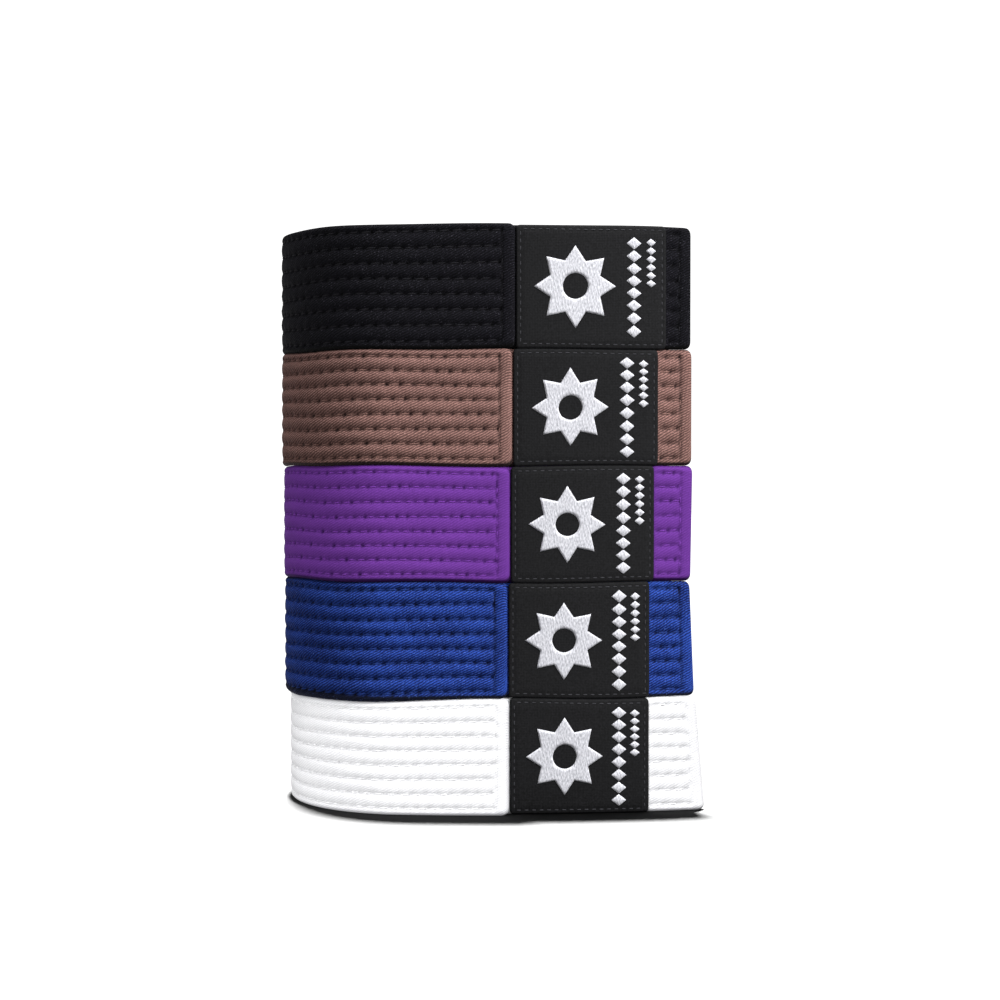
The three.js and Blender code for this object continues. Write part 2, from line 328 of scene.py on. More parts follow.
def repeated(faces, size, count):
    # the same faces for each of count shapes of size points
    return (faces[None] + (np.arange(count) * size)[:, None, None]).reshape(-1, 4)


# the quilting: eight rows of lockstitch that pull the sleeve down onto its core
quilt = {
    "rows": 8,
    "edgeRow": 2.6,
    "rowShift": 0.37,  # share of a stitch that each row is ahead of the row under it
    "edgeRound": 1.9,  # how far in from an edge the strip is rounded
    "corner": 2.2,  # radius of a tip's corners
    "near": 1.7,  # how sharply the cloth dips towards a row
    "scallop": 0.6,  # share by which the dip is shallower in the middle of a stitch
    "slant": 0.9,  # how the puckers lean, in mm along for one mm up
    "grooveDepth": 0.25,  # the narrow groove under the thread
    "holeDepth": 0.25,  # extra, where the thread goes in
    "grooveWidth": 0.5,
    "holeWidth": 0.45,  # extra
    "holeSharp": 4,  # how short a stretch of the stitch each hole takes up
    "holeShadeSharp": 7,  # and the painted shade of the dark point in it
    "crossSeam": 4.4,  # from the belt's end
    "crossGroove": 1.3,  # how much deeper its groove is
    "crossHole": 0.4,  # and how much narrower its holes are
    "fade": 0.6,  # length over which the rows begin and end
    "rowLines": (-1.3, -0.55, 0, 0.55, 1.3),  # the grid's lines at each row, from its middle
    "margin": 0.4,  # share of a stitch left free where rows begin or end
    "puff": 0.06,  # how much the puffs vary
    "puffWaves": ((7.3, 2.1, 1.0), (3.1, 4.7, 0.6)),  # each wave's length, shift by row and share
    "crown": 0.06,  # how far the puffs' tops are under the strip's full thickness
    "rim": 0.04,  # least half thickness
    "threadAt": 0.4,  # share of the dip at which the threads lie
    "threadClear": 0.02,
    "lowerShade": 1.5,  # how far in from the lower edge the slit's painted shade reaches
    "upperShade": 1.0,  # and from the upper edge
}


def rowSpacing(width):
    # the rows share out what the two edge rows leave
    return (width - 2 * quilt["edgeRow"]) / (quilt["rows"] - 1)


def rowHeights(width):
    return quilt["edgeRow"] + rowSpacing(width) * np.arange(quilt["rows"])


def gridHeights(width):
    # heights of the grid's lines: close together at the rows and at the rounded edges
    rows = rowHeights(width)
    near = np.array(quilt["rowLines"])
    middles = (rows[:-1] + rows[1:]) / 2
    edge = quilt["edgeRound"] * (1 - np.cos(np.linspace(0, math.pi / 2, 6)[:-1]))
    inside = np.concatenate([(rows[:, None] + near).ravel(), middles])
    inside = inside[(inside > edge[-1] + 0.1) & (inside < width - edge[-1] - 0.1)]
    return np.sort(np.concatenate([edge, inside, width - edge]))


def roundedEdge(v, width):
    # share of the full thickness, which falls in a quarter of an ellipse at both edges
    edge = np.clip(1 - np.minimum(v, width - v) / quilt["edgeRound"], 0, 1)
    return np.sqrt(np.maximum(1 - edge**2, 0))


def nearHole(position, sharp=quilt["holeSharp"]):
    # 0 along a stitch, rising to 1 where the needle went in, at whole numbers
    return np.clip(1 - (0.5 - np.abs(position % 1 - 0.5)) * sharp, 0, 1) ** 1.5


def relief(at, path, along, up, rowsFrom, rowsTo, tipAt=None, seam=False):
    # The face's distance from the strip's middle at each station and height, and its marks, which
    # paint shade into the cloth's colour: how deep in a groove, the dark point at each needle hole,
    # and how far in the slit between belts, reaching further in at the left by the sag and droop. The
    # cloth dips towards each row, with a narrow bell-shaped groove at the row itself, deeper and wider
    # at each hole. The dip is shallower in the middle of each stitch.
    width, stitch = at["width"], at["stitch"]
    u, v = along[:, None], up[None, :]
    spacing = rowSpacing(width)
    row = np.clip(np.round((v - quilt["edgeRow"]) / spacing), 0, quilt["rows"] - 1)
    above = v - quilt["edgeRow"] - row * spacing
    away = np.abs(above)
    counted = u / stitch + row * quilt["rowShift"]
    hole = nearHole(counted)
    sewn = np.clip((u - rowsFrom) / quilt["fade"] + 0.5, 0, 1)
    sewn = sewn * np.clip((rowsTo - u) / quilt["fade"] + 0.5, 0, 1)
    groove = sewn * np.exp(-((away / (quilt["grooveWidth"] + quilt["holeWidth"] * hole)) ** 2))
    if seam:
        reach = np.clip(np.minimum(v, width - v) - quilt["edgeRow"] + 1, 0, 1)
        crossHole = nearHole(v / stitch)
        crossWidth = quilt["grooveWidth"] + quilt["crossHole"] * quilt["holeWidth"] * crossHole
        fromSeam = (u - tipAt + quilt["crossSeam"]) / crossWidth
        cross = quilt["crossGroove"] * reach * np.exp(-(fromSeam**2))
        hole = np.where(cross > groove, crossHole, hole)
        groove = np.maximum(groove, cross)
    leaning = counted - quilt["slant"] * above / stitch
    scallop = 1 - quilt["scallop"] * (0.5 - 0.5 * np.cos(2 * math.pi * leaning))
    near = np.clip(1 - away / (spacing / 2), 0, 1) ** quilt["near"]
    depth = groove * (quilt["grooveDepth"] + quilt["holeDepth"] * hole)
    depth = depth + at["dip"] * near * scallop * sewn
    wander = sum(share * np.sin(u / run + row * shift) for run, shift, share in quilt["puffWaves"])
    puff = quilt["puff"] * wander * np.clip(away / 2, 0, 1)
    face = (half + puff - quilt["crown"] - depth) * roundedEdge(v, width)
    if tipAt is not None:
        toTip = np.clip(1 - (tipAt - u) / roll["tip"], 0, 1)
        face = face * np.sqrt(1 - roll["tipClose"] * toTip**2)
    # painted shade: a dark point at each needle hole, strongest in the middle of the groove
    holeShadeMark = groove**2 * np.where(groove > 0.5, nearHole(counted, quilt["holeShadeSharp"]), 0) * sewn
    # painted shade along the slits between belts: up from the lower edge, further in at the left by
    # the sag, and down from the upper edge, stronger at the left by the droop
    left = atLeft(np.interp(u, path["arc"], path["point"][:, 0]))
    lowerSlitShade = np.clip(2 - 2 * v / (quilt["lowerShade"] * (1 + at["sag"] * left)), 0, 1)
    upperSlitShade = np.clip(1 - (width - v) / quilt["upperShade"], 0, 1) * (0.5 + left * at["droop"])
    return np.maximum(face, quilt["rim"]), {"groove": groove, "hole": holeShadeMark, "slit": lowerSlitShade + upperSlitShade}


# stitches
quiltStitch = {"radius": 0.27, "length": 0.82, "rise": 0.34, "slant": 0.09, "sides": 6, "rings": 6}
labelStitch = {"radius": 0.2, "length": 0.77, "rise": 0.2, "slant": 0.0, "sides": 6, "rings": 5}
threadEnds = {"arch": 0.6, "thinned": 0.75, "radius": 0.03}


def stitchShape(s, pitch):
    # One stitch in its own axes, along, out and up: a thread whose middle arches out between its
    # two holes, and whose radius closes to almost nothing at both ends. It is as long as its share
    # of the pitch.
    length = s["length"] * pitch
    t = np.linspace(0, 1, s["rings"])
    arch = np.sin(math.pi * t) ** threadEnds["arch"]
    turn = np.linspace(0, 2 * math.pi, s["sides"], endpoint=False)
    radius = s["radius"] * (1 - threadEnds["thinned"] * (1 - arch))
    radius[[0, -1]] = threadEnds["radius"]
    along = np.broadcast_to(((t - 0.5) * length)[:, None], (s["rings"], s["sides"]))
    out = (s["rise"] * arch - s["rise"])[:, None] + radius[:, None] * np.cos(turn)
    up = radius[:, None] * np.sin(turn) + along * s["slant"]
    uv = np.broadcast_arrays(t[:, None] * length, turn[None, :] * s["radius"])
    return np.stack([along, out, up], -1).reshape(-1, 3), np.stack(uv, -1).reshape(-1, 2)


def stitchPiece(name, path, at, along, up, out, s, pitch, upright=None):
    # one stitch at each (along, up, out); upright turns a stitch to run up the strip's width
    shape, shapeUv = stitchShape(s, pitch)
    turned = np.zeros(len(along), bool) if upright is None else upright
    across = np.where(turned[:, None], shape[None, :, 2], shape[None, :, 0])
    rise = np.where(turned[:, None], shape[None, :, 0], shape[None, :, 2])
    outs = out[:, None] + np.sign(out)[:, None] * shape[None, :, 1]
    points = placed(path, at, along[:, None] + across, up[:, None] + rise, outs)
    index = np.arange(len(shape)).reshape(s["rings"], s["sides"])
    lids = [index[0][[0, 1, 2, 3]], index[0][[0, 3, 4, 5]]]
    lids += [index[-1][[3, 2, 1, 0]], index[-1][[5, 4, 3, 0]]]
    faces = np.concatenate([gridFaces(s["rings"], s["sides"]), np.stack(lids)])
    # a stitch on the other face, or an upright one, is a mirror image, so its faces turn over
    mirrored = np.repeat((np.sign(out) < 0) ^ turned, len(faces))
    every = repeated(faces, len(shape), len(along))
    every = np.where(mirrored[:, None], every[:, ::-1], every)
    uv = np.tile(shapeUv, (len(along), 1))
    return makePiece(name, points.reshape(-1, 3), every, uv)


def quiltRows(at, low, high, margin=0.0):
    # middles of the row stitches between two arc lengths: each starts where a needle hole is
    stitch = at["stitch"]
    number = np.arange(math.floor(low / stitch) - 1, math.ceil(high / stitch) + 4)
    row = np.arange(quilt["rows"])
    along = (number[None, :] + 0.5 - row[:, None] * quilt["rowShift"]) * stitch
    up = np.broadcast_to(rowHeights(at["width"])[:, None], along.shape)
    kept = (along > low + margin * stitch) & (along <= high)
    return along[kept], up[kept]


def crossRow(at, tipAt):
    # middles of the upright stitches across the strip near its tip
    number = np.arange(1, math.floor((at["width"] - quilt["edgeRow"]) / at["stitch"]))
    up = (number - 0.5) * at["stitch"]
    up = up[up > quilt["edgeRow"]]
    return np.full(len(up), tipAt - quilt["crossSeam"]), up


def threadRise(at):
    # the threads lie just above the grooves, at a share of the dip
    bottom = half - quilt["crown"] - quilt["grooveDepth"]
    return bottom - at["dip"] * quilt["threadAt"] + quilt["threadClear"]


def endStitches(name, path, at, outerFrom, innerFrom, tipAt):
    # the rows on both faces of an end, and the seam across it
    rowsTo = tipAt - quilt["crossSeam"] - quilt["margin"] * at["stitch"]
    parts = []
    for side, start, margin in ((1, *outerFrom), (-1, *innerFrom)):
        both = quiltRows(at, start, rowsTo, margin), crossRow(at, tipAt)
        for upright, (along, up) in enumerate(both):
            out = np.full(len(along), side * threadRise(at))
            parts.append((along, up, out, np.full(len(along), upright == 1)))
    along, up, out, upright = (np.concatenate(column) for column in zip(*parts))
    return stitchPiece(name, path, at, along, up, out, quiltStitch, at["stitch"], upright)


# the padding inside: a plain cotton strip, nipped in where the rows go through it
padding = {
    "thickness": 2.3,
    "nip": 0.92,
    "nipWidth": 1.2,
    "inset": 0.9,
    "rim": 0.2,
    "beside": 0.6,  # the grid's lines outside the edge rows
    "rimLine": 0.5,  # and inside its own edges
}


def paddingHeights(width):
    # heights of its grid's lines: at the rows, between them and at both edges
    rows = rowHeights(width)
    low, high, rim = padding["inset"], width - padding["inset"], padding["rimLine"]
    middles = (rows[:-1] + rows[1:]) / 2
    inside = [rows[:1] - padding["beside"], rows, middles, rows[-1:] + padding["beside"]]
    return np.concatenate([[low, low + rim], np.sort(np.concatenate(inside)), [high - rim, high]])


def paddingPiece(name, path, at, along):
    # half its thickness, less a bell-shaped nip at each row
    up = paddingHeights(at["width"])
    away = np.abs(up[:, None] - rowHeights(at["width"])[None, :]).min(1)
    face = padding["thickness"] / 2 - padding["nip"] * np.exp(-((away / padding["nipWidth"]) ** 2))
    face[[0, -1]] = padding["rim"]
    outs = np.broadcast_to(face, (len(along), len(up)))
    return stripPiece(name, path, at, along, up, outs, -outs)


# the label: a woven patch as tall as the belt, its edges folded under and sewn down all round
patch = {
    "thickness": 0.7,
    "gap": 0.15,  # to the cloth under it
    "inset": 0.05,
    "seamInset": 1.5,
    "seamPitch": 2.6,
    "seamDepth": 0.3,
    "seamWidth": 0.7,
    "pucker": 0.25,  # share of the seam's depth that comes and goes with each stitch
    "round": 1.1,  # how far in from its edges it is rounded
    "drop": 0.55,  # and how far down
    "wrap": 0.6,  # extra at its long edges, which follow the belt's own
    "corner": 1.3,
    "soft": 0.05,  # how much its face swells
    "softWaves": (6.1, 5.3),  # and over what lengths along and up
    "sink": 0.35,  # how far the strip is pressed down under it
    "sinkEnds": 1.5,  # length over which it comes up again
    "toTab": 0.6,  # from the label to where the tab's rows start
    "threadClear": 0.1,  # how far its stitches lie above the seam
    "least": 0.25,  # thickness at its edges
    "step": 0.65,
}
labelTop = half + patch["gap"] + patch["thickness"] - patch["sink"]


def labelFace(along, up, length, width):
    # height of the label's face over the strip's middle: level, rounded down at its edges and
    # pulled in along its seam, more at each stitch
    u, v = along[:, None], up[None, :]
    fromEnds = np.minimum(u - patch["inset"], length - u)
    fromEdge = np.minimum(fromEnds, np.minimum(v, width - v) - patch["inset"])
    edge = np.clip(1 - fromEdge / patch["round"], 0, 1)
    seam = np.exp(-(((fromEdge - patch["seamInset"]) / patch["seamWidth"]) ** 2))
    pucker = 1 - patch["pucker"] * (1 - np.cos(2 * math.pi * (u + v) / patch["seamPitch"]))
    soft = patch["soft"] * np.sin(u / patch["softWaves"][0]) * np.sin(v / patch["softWaves"][1])
    rounding = patch["drop"] * (1 - np.sqrt(1 - 0.99 * edge**2))
    return labelTop + soft - patch["seamDepth"] * seam * pucker - rounding


def edged(length, inset, step):
    # positions across a length: close together at both edges, evenly spaced between
    rim = inset + patch["round"] * (1 - np.cos(np.linspace(0, math.pi / 2, 5)))
    middle = np.linspace(rim[-1], length - rim[-1], math.ceil((length - 2 * rim[-1]) / step) + 1)
    return np.concatenate([rim[:-1], middle, length - rim[:-1][::-1]])


def labelPiece(name, path, at, length):
    # its face, and an underside that follows the strip's own rounding
    width = at["width"]
    along = patch["inset"] + edged(length - patch["inset"], 0, patch["step"])
    up = edged(width, patch["inset"], patch["step"])
    outer = labelFace(along, up, length, width)
    hem = roundedEdge(up, width)[None, :]
    under = half * hem - patch["sink"] + patch["gap"]
    outer = outer - (1 - hem) * patch["wrap"]
    under = np.minimum(under, outer - patch["least"])
    ends = (patch["inset"], length)
    return stripPiece(name, path, at, along, up, outer, under, None, ends, patch["corner"])


def labelStitches(name, path, at, length):
    # a running stitch along each of its four sides
    inset = patch["seamInset"] + patch["inset"]
    high = at["width"] - inset
    face = labelTop - patch["seamDepth"] + patch["threadClear"]
    across = np.arange(2 * inset, length - inset, patch["seamPitch"])
    upwards = np.arange(inset + patch["seamPitch"] / 2, high, patch["seamPitch"])
    sides = [(across, inset), (across, high), (inset, upwards), (length - patch["seamInset"], upwards)]
    along, up = (np.concatenate(c) for c in zip(*(np.broadcast_arrays(*side) for side in sides)))
    upright = np.arange(len(along)) >= 2 * len(across)
    out = np.full(len(along), face)
    return stitchPiece(name, path, at, along, up, out, labelStitch, patch["seamPitch"], upright)


# the embroidery: an eight-pointed star with a round eye, and two columns of lozenges
star = {
    "at": 0.39,
    "radius": 0.335,
    "points": 8,
    "notch": 0.66,
    "eye": 0.3,
    "height": 0.55,
    "edge": 0.8,
    "rim": 0.12,  # share of the height at its outline
    "around": 16,  # grid points for each of the star's points
    "over": 12,
}
lozenge = {"rim": 0.1, "round": 0.3, "grid": 7}
columns = {
    "long": {"at": 0.78, "middle": 0.5, "count": 8, "width": 5.4, "height": 4.3, "pitch": 4.35},
    "short": {"at": 0.895, "middle": 0.7, "count": 6, "width": 3.6, "height": 2.75, "pitch": 2.8},
}
laidOn = labelTop - 0.12  # the threads are pulled a little into the label


def starPiece(name, path, at, length):
    # A ring: round the star by angle, and from the eye out over the top and back underneath. Its
    # outline runs straight between points and notches.
    around, over = star["around"] * star["points"], star["over"]
    radius = star["radius"] * at["width"]
    angle = np.arange(around) * 2 * math.pi / around
    halfPoint = math.pi / star["points"]
    offPoint = np.abs((angle + halfPoint) % (2 * halfPoint) - halfPoint)
    notch = star["notch"]
    outline = radius * notch * math.sin(halfPoint)
    outline = outline / (np.sin(halfPoint - offPoint) * notch + np.sin(offPoint))
    share = np.linspace(0, 1, over)
    eye = radius * star["eye"]
    reach = eye + (outline[:, None] - eye) * share[None, :]
    fromRim = np.minimum(share, 1 - share)[None, :] * (outline[:, None] - eye)
    dome = np.sqrt(1 - np.clip(1 - fromRim / star["edge"], 0, 1) ** 2)
    top = star["height"] * (star["rim"] + (1 - star["rim"]) * dome)
    reach = np.concatenate([reach, reach[:, ::-1]], 1)
    out = np.concatenate([top, np.zeros_like(top)], 1)
    x, y = reach * np.cos(angle)[:, None], reach * np.sin(angle)[:, None]
    points = placed(path, at, star["at"] * length + x, at["width"] / 2 + y, laidOn + out)
    uv = np.stack([x, y], -1).reshape(-1, 2)
    return makePiece(name, points.reshape(-1, 3), gridFaces(around, 2 * over, True), uv)


def lozengePiece(name, path, at, length):
    # each lozenge is a square grid turned onto its corner, domed on top and flat underneath
    side = np.sin(np.linspace(-1, 1, lozenge["grid"]) * math.pi / 2)
    s, t = np.meshgrid(side, side, indexing="ij")
    dome = ((1 - s**2) * (1 - t**2)) ** lozenge["round"]
    dome = star["height"] * (lozenge["rim"] + (1 - lozenge["rim"]) * dome)
    s, t = np.concatenate([s, s[:, ::-1]], 1), np.concatenate([t, t[:, ::-1]], 1)
    out = np.concatenate([dome, np.zeros_like(dome)], 1)
    parts = []
    for c in columns.values():
        number = np.arange(c["count"])[:, None, None] - (c["count"] - 1) / 2
        x = c["at"] * length + c["width"] / 4 * (s + t) + 0 * number
        y = c["middle"] * at["width"] + c["height"] / 4 * (t - s) + number * c["pitch"]
        parts.append((x, y, out + 0 * number))
    x, y, out = (np.concatenate(column) for column in zip(*parts))
    points = placed(path, at, x, y, laidOn + out)
    faces = repeated(slabFaces(len(side), len(side)), 2 * len(side) ** 2, len(x))
    uv = np.stack([x, y], -1).reshape(-1, 2)
    return makePiece(name, points.reshape(-1, 3), faces, uv)


# materials
def linear(code):
    # an sRGB hex colour as linear red, green, blue and alpha
    values = np.array([int(code[i:i + 2], 16) for i in (1, 3, 5)]) / 255
    values = np.where(values <= 0.04045, values / 12.92, ((values + 0.055) / 1.055) ** 2.4)
    return (*values.tolist(), 1.0)


def addNode(tree, kind, inputs=None, out=0, **settings):
    # a node with its settings, its inputs set to values or linked from other nodes' sockets; gives
    # one of its own
    node = tree.nodes.new(kind)
    for key, value in settings.items():
        setattr(node, key, value)
    for key, value in (inputs or {}).items():
        if isinstance(value, bpy.types.NodeSocket):
            tree.links.new(value, node.inputs[key])
        else:
            node.inputs[key].default_value = value
    return node.outputs[out]


def newMaterial(name, roughness, sheen, sheenTint, specular):
    # a matt fibre's shader, with a soft sheen at grazing angles
    material = bpy.data.materials.new(name)
    material.use_nodes = True
    tree = material.node_tree
    shader = tree.nodes["Principled BSDF"]
    shader.inputs["Roughness"].default_value = roughness
    shader.inputs["Specular IOR Level"].default_value = specular
    shader.inputs["Sheen Weight"].default_value = sheen
    shader.inputs["Sheen Roughness"].default_value = 0.45
    shader.inputs["Sheen Tint"].default_value = linear(sheenTint)
    return material, tree, shader


def clothSurface(tree, shader, tone, dark, light, height, strength, distance):
    # the shader's colour from dark to light by tone, and its bumps
    ends = {0: tone, 6: linear(dark), 7: linear(light)}
    cloth = addNode(tree, "ShaderNodeMix", ends, 2, data_type="RGBA", clamp_factor=True)
    tree.links.new(cloth, shader.inputs["Base Color"])
    raised = {"Height": height, "Strength": strength, "Distance": distance}
    tree.links.new(addNode(tree, "ShaderNodeBump", raised), shader.inputs["Normal"])
    return cloth


def threadLines(tree, uv, angle, pitch, shift=0.0):
    # 0 to 1 and back across lines that climb by an angle, a pitch apart: half a sine and a half
    line = (-math.sin(angle) / pitch, math.cos(angle) / pitch, 0)
    across = addNode(tree, "ShaderNodeVectorMath", {0: uv, 1: line}, 1, operation="DOT_PRODUCT")
    moved = addNode(tree, "ShaderNodeMath", {0: across, 1: shift}, operation="ADD")
    turned = addNode(tree, "ShaderNodeMath", {0: moved, 1: 2 * math.pi}, operation="MULTIPLY")
    sine = addNode(tree, "ShaderNodeMath", {0: turned}, operation="SINE")
    return addNode(tree, "ShaderNodeMath", {0: sine, 1: 0.5, 2: 0.5}, operation="MULTIPLY_ADD"), moved


# Twill: 20s cotton yarn makes diagonal ribs about 0.5 mm apart, drawn 0.8 mm apart so that they
# show. They are matt and a little fuzzy.
weave = {
    "ribs": 0.8,
    "climb": math.radians(28),
    "float": 1.5,  # length of a yarn's float along a rib
    "step": 0.382,  # share of a float that each rib is ahead of the last
    "wobble": 1.2,
    "wobbleScale": 0.22,
    "floatLift": 0.35,  # share of a rib's height that comes and goes with its floats
    "fuzzScale": 2200.0,
    "fuzzHeight": 0.4,
    "patchScale": 70.0,
    "lintShare": 0.3,
    "roughness": 0.88,
    "bump": 0.00022,
}


def twillMaterial(name, dye):
    # The tone adds up the ribs, the fuzz and broad patches. Painted shade, in the belt's shade colour,
    # is laid over it in the grooves, at the needle holes and along the slits between belts, and then
    # specks of lint.
    gloss = (weave["roughness"], dye["sheen"], dye["light"], dye["specular"])
    material, tree, shader = newMaterial(name, *gloss)
    uv = addNode(tree, "ShaderNodeUVMap", uv_map="cloth")
    place = addNode(tree, "ShaderNodeTexCoord", out="Object")
    noise = {"Vector": uv, "Scale": weave["wobbleScale"], "Detail": 2.0}
    wobble = addNode(tree, "ShaderNodeTexNoise", noise)
    wobble = addNode(tree, "ShaderNodeMath", {0: wobble, 1: weave["wobble"]}, operation="MULTIPLY")
    ribs, counted = threadLines(tree, uv, weave["climb"], weave["ribs"], wobble)
    rib = addNode(tree, "ShaderNodeMath", {0: counted}, operation="FLOOR")
    step = addNode(tree, "ShaderNodeMath", {0: rib, 1: weave["step"]}, operation="MULTIPLY")
    floats, _ = threadLines(tree, uv, weave["climb"] + math.pi / 2, weave["float"], step)
    lift = {0: floats, 1: weave["floatLift"], 2: 1 - weave["floatLift"]}
    raised = addNode(tree, "ShaderNodeMath", lift, operation="MULTIPLY_ADD")
    surface = addNode(tree, "ShaderNodeMath", {0: ribs, 1: raised}, operation="MULTIPLY")
    noise = {"Vector": place, "Scale": weave["fuzzScale"], "Detail": 1.0}
    fuzz = addNode(tree, "ShaderNodeTexNoise", noise)
    noise = {"Vector": place, "Scale": weave["patchScale"], "Detail": 3.0}
    patchy = addNode(tree, "ShaderNodeTexNoise", noise)
    tone = 0.5 - dye["ribContrast"] / 2
    tones = ((surface, 0, "ribContrast"), (fuzz, 0.5, "fuzz"), (patchy, 0.5, "patchy"))
    for value, middle, weight in tones:
        level = addNode(tree, "ShaderNodeMath", {0: value, 1: middle}, operation="SUBTRACT")
        parts = {0: level, 1: dye[weight], 2: tone}
        tone = addNode(tree, "ShaderNodeMath", parts, operation="MULTIPLY_ADD")
    parts = {0: fuzz, 1: weave["fuzzHeight"], 2: surface}
    height = addNode(tree, "ShaderNodeMath", parts, operation="MULTIPLY_ADD")
    cloth = clothSurface(
        tree, shader, tone, dye["dark"], dye["light"], height, dye["bump"], weave["bump"])
    # painted shade: the groove, hole and slit marks, each weighted, mix the cloth towards the belt's
    # dark shade colour
    shade = 0.0
    for mark, weight in (("groove", "shade"), ("hole", "holeShade"), ("slit", "slitShade")):
        value = addNode(tree, "ShaderNodeAttribute", out="Fac", attribute_name=mark)
        parts = {0: value, 1: dye[weight], 2: shade}
        shade = addNode(tree, "ShaderNodeMath", parts, operation="MULTIPLY_ADD")
    ends = {0: shade, 6: cloth, 7: linear(dye["shadeColour"])}
    cloth = addNode(tree, "ShaderNodeMix", ends, 2, data_type="RGBA", clamp_factor=True)
    lint = addNode(tree, "ShaderNodeMath", {0: fuzz, 1: dye["lintAbove"]}, operation="GREATER_THAN")
    lint = addNode(tree, "ShaderNodeMath", {0: lint, 1: weave["lintShare"]}, operation="MULTIPLY")
    ends = {0: lint, 6: cloth, 7: linear(dye["lint"])}
    cloth = addNode(tree, "ShaderNodeMix", ends, 2, data_type="RGBA")
    tree.links.new(cloth, shader.inputs["Base Color"])
    return material


# polyester sewing thread: smoother than the cloth, with the twist of its plies across it
sewing = {
    "roughness": 0.75,
    "sheen": 0.02,
    "specular": 0.15,
    "twist": math.radians(60),
    "ply": 0.7,
    "unevenScale": 400.0,
    "bump": 0.0001,
}


def threadMaterial(name, colour, dark):
    # its tone goes by the twist, on an uneven dye
    gloss = (sewing["roughness"], sewing["sheen"], colour, sewing["specular"])
    material, tree, shader = newMaterial(name, *gloss)
    uv = addNode(tree, "ShaderNodeUVMap", uv_map="cloth")
    place = addNode(tree, "ShaderNodeTexCoord", out="Object")
    twist, _ = threadLines(tree, uv, sewing["twist"], sewing["ply"])
    noise = {"Vector": place, "Scale": sewing["unevenScale"], "Detail": 1.0}
    uneven = addNode(tree, "ShaderNodeTexNoise", noise)
    tone = addNode(tree, "ShaderNodeMath", {0: twist, 1: 0.5, 2: uneven}, operation="MULTIPLY_ADD")
    clothSurface(tree, shader, tone, dark, colour, twist, 0.5, sewing["bump"])
    return material


# plain-woven polyester label tape: a fine even grid of threads, 0.3 mm drawn at 0.55 mm
tape = {
    "gloss": (0.75, 0.03, "#8a8a90", 0.14),  # roughness, sheen, its tint and specular level
    "dark": "#050506",
    "light": "#1b1b1d",
    "pitch": 0.55,
    "fuzzScale": 1500.0,
    "bump": 0.0001,
}


def labelMaterial():
    # its tone goes by the fuzz, and a little by the grid
    material, tree, shader = newMaterial("woven_label_tape", *tape["gloss"])
    uv = addNode(tree, "ShaderNodeUVMap", uv_map="cloth")
    place = addNode(tree, "ShaderNodeTexCoord", out="Object")
    warp, _ = threadLines(tree, uv, 0, tape["pitch"])
    weft, _ = threadLines(tree, uv, math.pi / 2, tape["pitch"])
    grid = addNode(tree, "ShaderNodeMath", {0: warp, 1: weft}, operation="MULTIPLY")
    noise = {"Vector": place, "Scale": tape["fuzzScale"], "Detail": 2.0}
    fuzz = addNode(tree, "ShaderNodeTexNoise", noise)
    tone = addNode(tree, "ShaderNodeMath", {0: fuzz, 1: 1.6, 2: -0.55}, operation="MULTIPLY_ADD")
    tone = addNode(tree, "ShaderNodeMath", {0: grid, 1: 0.45, 2: tone}, operation="MULTIPLY_ADD")
    height = addNode(tree, "ShaderNodeMath", {0: grid, 1: fuzz}, operation="ADD")
    clothSurface(tree, shader, tone, tape["dark"], tape["light"], height, 0.5, tape["bump"])
    return material


# trilobal polyester embroidery thread in satin stitch: shiny threads side by side up the label,
# 0.3 mm drawn at 0.5 mm, which sparkle where they lie unevenly
satin = {
    "gloss": (0.42, 0.2, "#ffffff", 0.5),
    "dark": "#95969e",
    "light": "#e7e7ed",
    "climb": math.radians(84),
    "pitch": 0.5,
    "uneven": (2.0, 0.7, 1),  # its patches are narrow and long
    "unevenScale": 1.3,
    "bump": 0.00016,
}


def embroideryMaterial():
    # its tone goes by the uneven lie, which paints in the sparkle and shade of threads that catch the
    # light unevenly, and a little by the threads
    material, tree, shader = newMaterial("satin_embroidery", *satin["gloss"])
    uv = addNode(tree, "ShaderNodeUVMap", uv_map="cloth")
    thread, _ = threadLines(tree, uv, satin["climb"], satin["pitch"])
    mapped = addNode(tree, "ShaderNodeMapping", {"Vector": uv, "Scale": satin["uneven"]})
    noise = {"Vector": mapped, "Scale": satin["unevenScale"], "Detail": 2.0}
    uneven = addNode(tree, "ShaderNodeTexNoise", noise)
    # painted highlight and shade: lighter and darker patches where the threads lie unevenly
    tone = addNode(tree, "ShaderNodeMath", {0: uneven, 1: 2.2, 2: -0.75}, operation="MULTIPLY_ADD")
    tone = addNode(tree, "ShaderNodeMath", {0: thread, 1: 0.45, 2: tone}, operation="MULTIPLY_ADD")
    height = addNode(tree, "ShaderNodeMath", {0: uneven, 1: 0.8, 2: thread}, operation="MULTIPLY_ADD")
    clothSurface(tree, shader, tone, satin["dark"], satin["light"], height, 0.6, satin["bump"])
    return material


# unbleached cotton wadding: cream and matt, with loose fibres about a millimetre apart
fibre = {
    "gloss": (0.95, 0.3, "#f0e8d8", 0.1),
    "dark": "#b8ab90",
    "light": "#ece3cf",
    "scale": 900.0,
    "bump": 0.0002,
}


def paddingMaterial():
    # its tone and its bumps are those of the fibres
    material, tree, shader = newMaterial("unbleached_cotton", *fibre["gloss"])
    place = addNode(tree, "ShaderNodeTexCoord", out="Object")
    noise = {"Vector": place, "Scale": fibre["scale"], "Detail": 3.0}
    fibres = addNode(tree, "ShaderNodeTexNoise", noise)
    clothSurface(tree, shader, fibres, fibre["dark"], fibre["light"], fibres, 0.5, fibre["bump"])
    return material
